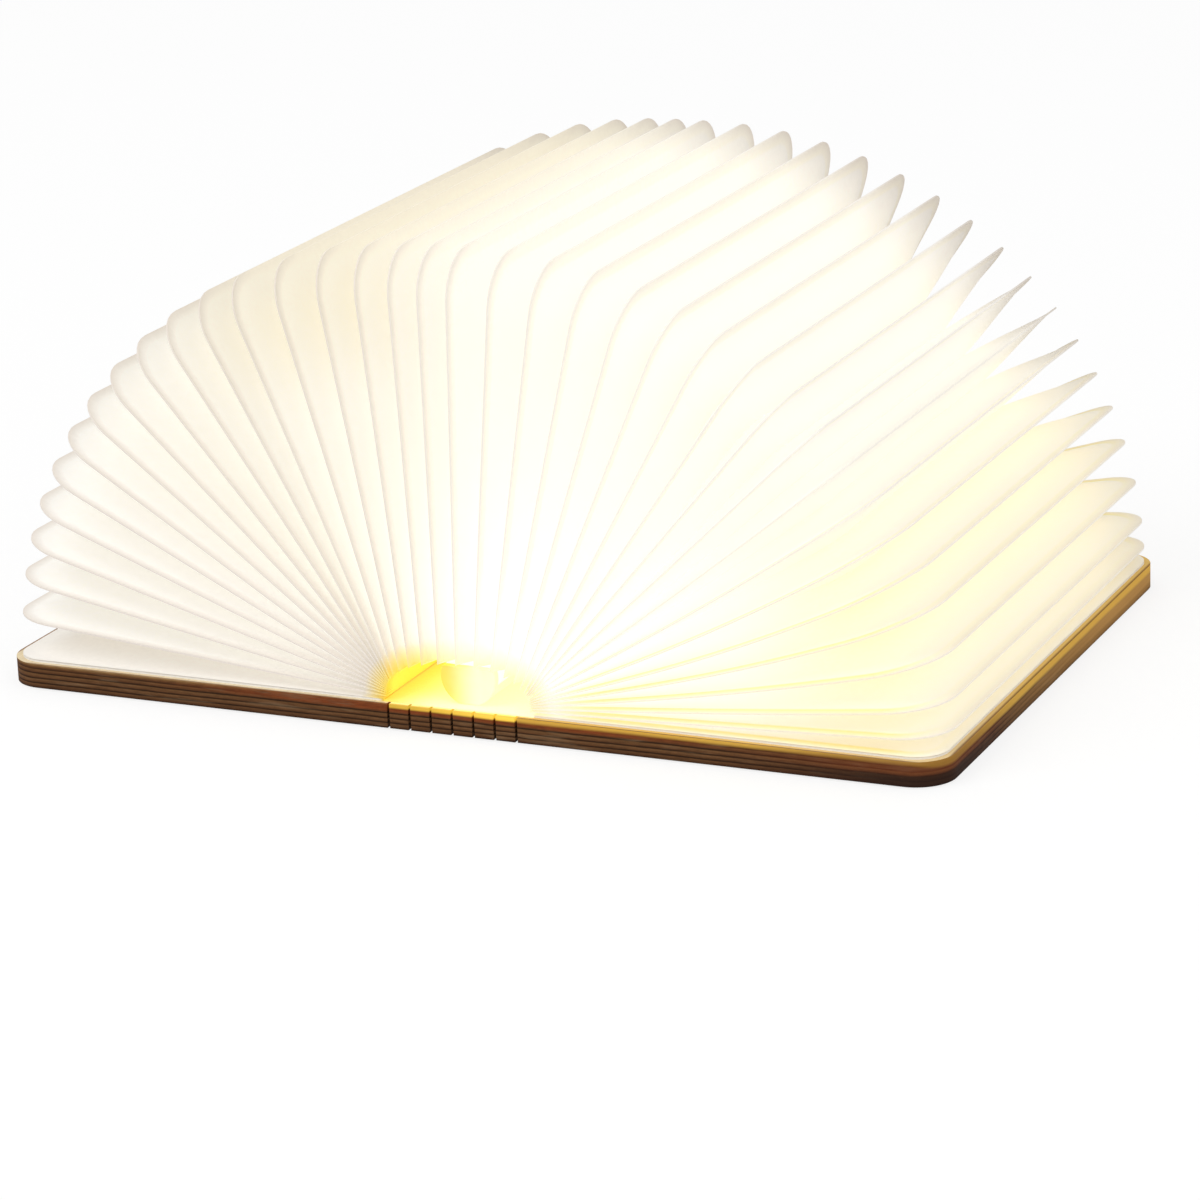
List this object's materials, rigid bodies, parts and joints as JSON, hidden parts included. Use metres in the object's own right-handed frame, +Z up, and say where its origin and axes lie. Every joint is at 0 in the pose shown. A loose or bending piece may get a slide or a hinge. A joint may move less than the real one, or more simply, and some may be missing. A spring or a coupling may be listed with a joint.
{
  "type": "folding book lamp",
  "caption": "Small folding lamp shaped like a book: wooden covers on a slatted spine, a fan of white paper leaves and a light bar in the spine.",
  "frame": {"origin": "under the middle of the spine, on the surface that the open lamp lies on", "axes": "+X across the open covers to the right cover's fore edge, +Y along the spine to its back end, +Z up"},
  "size_m": [0.1806, 0.122, 0.0855],
  "materials": {
    "plywood": "matte",
    "liner": "matte",
    "endsheet": "matte",
    "leaf_paper": "matte",
    "glowing_paper": "matte",
    "magnet": "satin",
    "tape": "matte",
    "bar_plastic": "satin",
    "diffuser": "matte",
    "circuit_board": "satin",
    "led": "gloss",
    "battery_foil": "satin",
    "chip_plastic": "satin",
    "socket_steel": "satin"
  },
  "bodies": {
    "right_cover": {"cover_right": "plywood", "endsheet_right": "endsheet", "magnets_right": "magnet"},
    "slat_1": {"spine_slat_1": "plywood"},
    "slat_2": {"spine_slat_2": "plywood"},
    "slat_3": {"spine_slat_3": "plywood", "spine_liner": "liner", "leaf_strip": "glowing_paper", "bar_tape": "tape", "bar_tray": "bar_plastic", "bar_diffuser": "diffuser", "bar_caps": "bar_plastic", "led_board": "circuit_board", "led_chips": "led", "battery": "battery_foil", "control_board": "circuit_board", "switch_sensor": "chip_plastic", "usb_socket": "socket_steel"},
    "slat_4": {"spine_slat_4": "plywood"},
    "slat_5": {"spine_slat_5": "plywood"},
    "slat_6": {"spine_slat_6": "plywood"},
    "left_cover": {"cover_left": "plywood", "endsheet_left": "endsheet", "magnets_left": "magnet", "switch_magnet": "magnet"},
    "leaf_01": {"leaf_01": "leaf_paper"},
    "leaf_02": {"leaf_02": "leaf_paper"},
    "leaf_03": {"leaf_03": "leaf_paper"},
    "leaf_04": {"leaf_04": "leaf_paper"},
    "leaf_05": {"leaf_05": "leaf_paper"},
    "leaf_06": {"leaf_06": "leaf_paper"},
    "leaf_07": {"leaf_07": "leaf_paper"},
    "leaf_08": {"leaf_08": "leaf_paper"},
    "leaf_09": {"leaf_09": "leaf_paper"},
    "leaf_10": {"leaf_10": "leaf_paper"},
    "leaf_11": {"leaf_11": "leaf_paper"},
    "leaf_12": {"leaf_12": "leaf_paper"},
    "leaf_13": {"leaf_13": "leaf_paper"},
    "leaf_14": {"leaf_14": "leaf_paper"},
    "leaf_15": {"leaf_15": "leaf_paper"},
    "leaf_16": {"leaf_16": "leaf_paper"},
    "leaf_17": {"leaf_17": "leaf_paper"},
    "leaf_18": {"leaf_18": "leaf_paper"},
    "leaf_19": {"leaf_19": "leaf_paper"},
    "leaf_20": {"leaf_20": "leaf_paper"},
    "leaf_21": {"leaf_21": "leaf_paper"},
    "leaf_22": {"leaf_22": "leaf_paper"},
    "leaf_23": {"leaf_23": "leaf_paper"},
    "leaf_24": {"leaf_24": "leaf_paper"},
    "leaf_25": {"leaf_25": "leaf_paper"},
    "leaf_26": {"leaf_26": "leaf_paper"},
    "leaf_27": {"leaf_27": "leaf_paper"},
    "leaf_28": {"leaf_28": "leaf_paper"},
    "leaf_29": {"leaf_29": "leaf_paper"},
    "leaf_30": {"leaf_30": "leaf_paper"},
    "leaf_31": {"leaf_31": "leaf_paper"},
    "leaf_32": {"leaf_32": "leaf_paper"},
    "leaf_33": {"leaf_33": "leaf_paper"},
    "leaf_34": {"leaf_34": "leaf_paper"},
    "leaf_35": {"leaf_35": "leaf_paper"}
  },
  "joints": [
    {"name": "fold", "type": "hinge", "parent": "right_cover", "child": "slat_1", "pos_m": [0.0123, 0, 0.0045], "axis": [0, 1, 0], "range_deg": [0, 25.71], "deforming": ["spine_liner", "leaf_strip"]},
    {"name": "fold_2", "type": "hinge", "parent": "slat_1", "child": "slat_2", "pos_m": [0.0082, 0, 0.0045], "axis": [0, 1, 0], "range_deg": [0, 26.49]},
    {"name": "fold_3", "type": "hinge", "parent": "slat_2", "child": "slat_3", "pos_m": [0.0041, 0, 0.0045], "axis": [0, 1, 0], "range_deg": [0, 26.49]},
    {"name": "fold_4", "type": "hinge", "parent": "slat_3", "child": "slat_4", "pos_m": [0, 0, 0.0045], "axis": [0, 1, 0], "range_deg": [0, 26.49]},
    {"name": "fold_5", "type": "hinge", "parent": "slat_4", "child": "slat_5", "pos_m": [-0.0041, 0, 0.0045], "axis": [0, 1, 0], "range_deg": [0, 26.49]},
    {"name": "fold_6", "type": "hinge", "parent": "slat_5", "child": "slat_6", "pos_m": [-0.0082, 0, 0.0045], "axis": [0, 1, 0], "range_deg": [0, 26.49]},
    {"name": "fold_7", "type": "hinge", "parent": "slat_6", "child": "left_cover", "pos_m": [-0.0123, 0, 0.0045], "axis": [0, 1, 0], "range_deg": [0, 26.49]},
    {"name": "leaf_turn_01", "type": "hinge", "parent": "right_cover", "child": "leaf_01", "pos_m": [0.00707, 0, 0.02592], "axis": [0, 1, 0], "range_deg": [0, 2.11]},
    {"name": "leaf_turn_02", "type": "hinge", "parent": "right_cover", "child": "leaf_02", "pos_m": [0.01196, 0, 0.01219], "axis": [0, 1, 0], "range_deg": [0, 5.7]},
    {"name": "leaf_turn_03", "type": "hinge", "parent": "right_cover", "child": "leaf_03", "pos_m": [0.01383, 0, 0.00841], "axis": [0, 1, 0], "range_deg": [0, 11.33]},
    {"name": "leaf_turn_04", "type": "hinge", "parent": "right_cover", "child": "leaf_04", "pos_m": [0.01465, 0, 0.0073], "axis": [0, 1, 0], "range_deg": [0, 17.38]},
    {"name": "leaf_turn_05", "type": "hinge", "parent": "right_cover", "child": "leaf_05", "pos_m": [0.01515, 0, 0.00699], "axis": [0, 1, 0], "range_deg": [0, 22.66]},
    {"name": "leaf_turn_06", "type": "hinge", "parent": "right_cover", "child": "leaf_06", "pos_m": [0.01551, 0, 0.00693], "axis": [0, 1, 0], "range_deg": [0, 28.06]},
    {"name": "leaf_turn_07", "type": "hinge", "parent": "right_cover", "child": "leaf_07", "pos_m": [0.01577, 0, 0.00701], "axis": [0, 1, 0], "range_deg": [0, 33.58]},
    {"name": "leaf_turn_08", "type": "hinge", "parent": "right_cover", "child": "leaf_08", "pos_m": [0.01596, 0, 0.0072], "axis": [0, 1, 0], "range_deg": [0, 39.24]},
    {"name": "leaf_turn_09", "type": "hinge", "parent": "right_cover", "child": "leaf_09", "pos_m": [0.01608, 0, 0.00746], "axis": [0, 1, 0], "range_deg": [0, 45.02]},
    {"name": "leaf_turn_10", "type": "hinge", "parent": "right_cover", "child": "leaf_10", "pos_m": [0.01614, 0, 0.00778], "axis": [0, 1, 0], "range_deg": [0, 50.94]},
    {"name": "leaf_turn_11", "type": "hinge", "parent": "right_cover", "child": "leaf_11", "pos_m": [0.01615, 0, 0.00814], "axis": [0, 1, 0], "range_deg": [0, 56.97]},
    {"name": "leaf_turn_12", "type": "hinge", "parent": "right_cover", "child": "leaf_12", "pos_m": [0.01591, 0, 0.00843], "axis": [0, 1, 0], "range_deg": [0, 62.92]},
    {"name": "leaf_turn_13", "type": "hinge", "parent": "right_cover", "child": "leaf_13", "pos_m": [0.01533, 0, 0.00853], "axis": [0, 1, 0], "range_deg": [0, 68.61]},
    {"name": "leaf_turn_14", "type": "hinge", "parent": "slat_1", "child": "leaf_14", "pos_m": [0.01416, 0, 0.01092], "axis": [0, 1, 0], "range_deg": [0, 47.48]},
    {"name": "leaf_turn_15", "type": "hinge", "parent": "slat_1", "child": "leaf_15", "pos_m": [0.01261, 0, 0.00975], "axis": [0, 1, 0], "range_deg": [0, 52.42]},
    {"name": "leaf_turn_16", "type": "hinge", "parent": "slat_2", "child": "leaf_16", "pos_m": [0.01159, 0, 0.01216], "axis": [0, 1, 0], "range_deg": [0, 30.42]},
    {"name": "leaf_turn_17", "type": "hinge", "parent": "slat_2", "child": "leaf_17", "pos_m": [0.00931, 0, 0.00797], "axis": [0, 1, 0], "range_deg": [0, 34.51]},
    {"name": "leaf_turn_18", "type": "hinge", "parent": "slat_3", "child": "leaf_18", "pos_m": [0.01477, 0, 0.00573], "axis": [0, 1, 0], "range_deg": [0, 11.87]},
    {"name": "leaf_turn_19", "type": "hinge", "parent": "slat_4", "child": "leaf_19", "pos_m": [-0.01456, 0, 0.01265], "axis": [0, 1, 0], "range_deg": [-12.8, 0]},
    {"name": "leaf_turn_20", "type": "hinge", "parent": "slat_5", "child": "leaf_20", "pos_m": [-0.00971, 0, 0.00997], "axis": [0, 1, 0], "range_deg": [-37.18, 0]},
    {"name": "leaf_turn_21", "type": "hinge", "parent": "slat_6", "child": "leaf_21", "pos_m": [-0.01117, 0, 0.00893], "axis": [0, 1, 0], "range_deg": [-60.37, 0]},
    {"name": "leaf_turn_22", "type": "hinge", "parent": "slat_6", "child": "leaf_22", "pos_m": [-0.01239, 0, 0.00987], "axis": [0, 1, 0], "range_deg": [-55.69, 0]},
    {"name": "leaf_turn_23", "type": "hinge", "parent": "slat_6", "child": "leaf_23", "pos_m": [-0.01348, 0, 0.01041], "axis": [0, 1, 0], "range_deg": [-49.75, 0]},
    {"name": "leaf_turn_24", "type": "hinge", "parent": "slat_6", "child": "leaf_24", "pos_m": [-0.0144, 0, 0.01066], "axis": [0, 1, 0], "range_deg": [-42.93, 0]},
    {"name": "leaf_turn_25", "type": "hinge", "parent": "left_cover", "child": "leaf_25", "pos_m": [-0.01466, 0, 0.00775], "axis": [0, 1, 0], "range_deg": [-63.6, 0]},
    {"name": "leaf_turn_26", "type": "hinge", "parent": "left_cover", "child": "leaf_26", "pos_m": [-0.01463, 0, 0.00738], "axis": [0, 1, 0], "range_deg": [-57.36, 0]},
    {"name": "leaf_turn_27", "type": "hinge", "parent": "left_cover", "child": "leaf_27", "pos_m": [-0.01454, 0, 0.00705], "axis": [0, 1, 0], "range_deg": [-51.14, 0]},
    {"name": "leaf_turn_28", "type": "hinge", "parent": "left_cover", "child": "leaf_28", "pos_m": [-0.01439, 0, 0.00678], "axis": [0, 1, 0], "range_deg": [-45, 0]},
    {"name": "leaf_turn_29", "type": "hinge", "parent": "left_cover", "child": "leaf_29", "pos_m": [-0.01419, 0, 0.00657], "axis": [0, 1, 0], "range_deg": [-38.98, 0]},
    {"name": "leaf_turn_30", "type": "hinge", "parent": "left_cover", "child": "leaf_30", "pos_m": [-0.01392, 0, 0.00646], "axis": [0, 1, 0], "range_deg": [-33.09, 0]},
    {"name": "leaf_turn_31", "type": "hinge", "parent": "left_cover", "child": "leaf_31", "pos_m": [-0.01357, 0, 0.00646], "axis": [0, 1, 0], "range_deg": [-27.36, 0]},
    {"name": "leaf_turn_32", "type": "hinge", "parent": "left_cover", "child": "leaf_32", "pos_m": [-0.01311, 0, 0.00663], "axis": [0, 1, 0], "range_deg": [-21.77, 0]},
    {"name": "leaf_turn_33", "type": "hinge", "parent": "left_cover", "child": "leaf_33", "pos_m": [-0.01248, 0, 0.00712], "axis": [0, 1, 0], "range_deg": [-16.31, 0]},
    {"name": "leaf_turn_34", "type": "hinge", "parent": "left_cover", "child": "leaf_34", "pos_m": [-0.01155, 0, 0.00834], "axis": [0, 1, 0], "range_deg": [-10.95, 0]},
    {"name": "leaf_turn_35", "type": "hinge", "parent": "left_cover", "child": "leaf_35", "pos_m": [-0.00989, 0, 0.01252], "axis": [0, 1, 0], "range_deg": [-5.45, 0]}
  ],
  "couplings": [
    {"joint": "fold_2", "follows": "fold", "ratio": 1},
    {"joint": "fold_3", "follows": "fold", "ratio": 1},
    {"joint": "fold_4", "follows": "fold", "ratio": 1},
    {"joint": "fold_5", "follows": "fold", "ratio": 1},
    {"joint": "fold_6", "follows": "fold", "ratio": 1},
    {"joint": "fold_7", "follows": "fold", "ratio": 1},
    {"joint": "leaf_turn_01", "follows": "fold", "ratio": 0.079844},
    {"joint": "leaf_turn_02", "follows": "fold", "ratio": 0.21512},
    {"joint": "leaf_turn_03", "follows": "fold", "ratio": 0.42764},
    {"joint": "leaf_turn_04", "follows": "fold", "ratio": 0.6562},
    {"joint": "leaf_turn_05", "follows": "fold", "ratio": 0.85573},
    {"joint": "leaf_turn_06", "follows": "fold", "ratio": 1.0595},
    {"joint": "leaf_turn_07", "follows": "fold", "ratio": 1.268},
    {"joint": "leaf_turn_08", "follows": "fold", "ratio": 1.4815},
    {"joint": "leaf_turn_09", "follows": "fold", "ratio": 1.6999},
    {"joint": "leaf_turn_10", "follows": "fold", "ratio": 1.9231},
    {"joint": "leaf_turn_11", "follows": "fold", "ratio": 2.1509},
    {"joint": "leaf_turn_12", "follows": "fold", "ratio": 2.3756},
    {"joint": "leaf_turn_13", "follows": "fold", "ratio": 2.5903},
    {"joint": "leaf_turn_14", "follows": "fold", "ratio": 1.7926},
    {"joint": "leaf_turn_15", "follows": "fold", "ratio": 1.9792},
    {"joint": "leaf_turn_16", "follows": "fold", "ratio": 1.1487},
    {"joint": "leaf_turn_17", "follows": "fold", "ratio": 1.3029},
    {"joint": "leaf_turn_18", "follows": "fold", "ratio": 0.44801},
    {"joint": "leaf_turn_19", "follows": "fold", "ratio": -0.48329},
    {"joint": "leaf_turn_20", "follows": "fold", "ratio": -1.4039},
    {"joint": "leaf_turn_21", "follows": "fold", "ratio": -2.2795},
    {"joint": "leaf_turn_22", "follows": "fold", "ratio": -2.1026},
    {"joint": "leaf_turn_23", "follows": "fold", "ratio": -1.8784},
    {"joint": "leaf_turn_24", "follows": "fold", "ratio": -1.6209},
    {"joint": "leaf_turn_25", "follows": "fold", "ratio": -2.4014},
    {"joint": "leaf_turn_26", "follows": "fold", "ratio": -2.1656},
    {"joint": "leaf_turn_27", "follows": "fold", "ratio": -1.9308},
    {"joint": "leaf_turn_28", "follows": "fold", "ratio": -1.699},
    {"joint": "leaf_turn_29", "follows": "fold", "ratio": -1.4716},
    {"joint": "leaf_turn_30", "follows": "fold", "ratio": -1.2495},
    {"joint": "leaf_turn_31", "follows": "fold", "ratio": -1.033},
    {"joint": "leaf_turn_32", "follows": "fold", "ratio": -0.82196},
    {"joint": "leaf_turn_33", "follows": "fold", "ratio": -0.61574},
    {"joint": "leaf_turn_34", "follows": "fold", "ratio": -0.41344},
    {"joint": "leaf_turn_35", "follows": "fold", "ratio": -0.20559}
  ]
}
